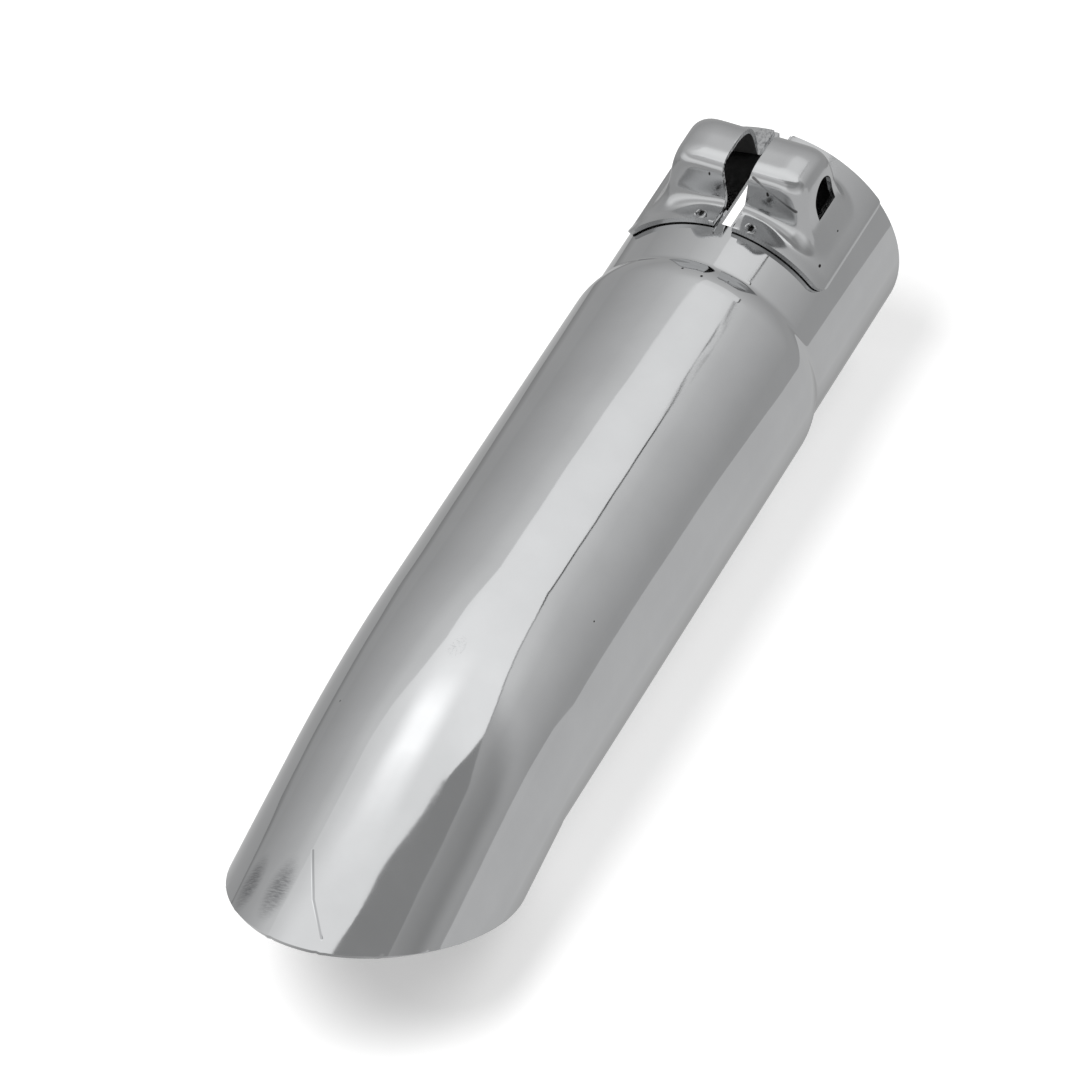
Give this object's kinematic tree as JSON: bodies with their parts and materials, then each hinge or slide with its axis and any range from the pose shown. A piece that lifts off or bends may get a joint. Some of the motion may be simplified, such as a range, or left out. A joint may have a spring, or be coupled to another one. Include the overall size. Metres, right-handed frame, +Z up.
{
  "type": "exhaust tip",
  "caption": "Slip-on chromed exhaust tip: slotted clamp collar with stamped bolt ears, swaged body and a turned-down, slash-cut outlet.",
  "frame": {"origin": "centre of the inlet rim of the slip-on collar", "axes": "+X along the straight tube towards the outlet, +Z up through the middle of the clamp slot, the outlet turns down towards -Z"},
  "size_m": [0.2724, 0.0634, 0.0762],
  "materials": {
    "chromed_tube": "decorative chrome plate on polished mild steel tube",
    "chromed_ears": "decorative chrome plate on stamped mild steel sheet"
  },
  "bodies": {
    "root": {"tip_tube": "chromed_tube", "clamp_ear_left": "chromed_ears", "clamp_ear_right": "chromed_ears"}
  },
  "joints": []
}
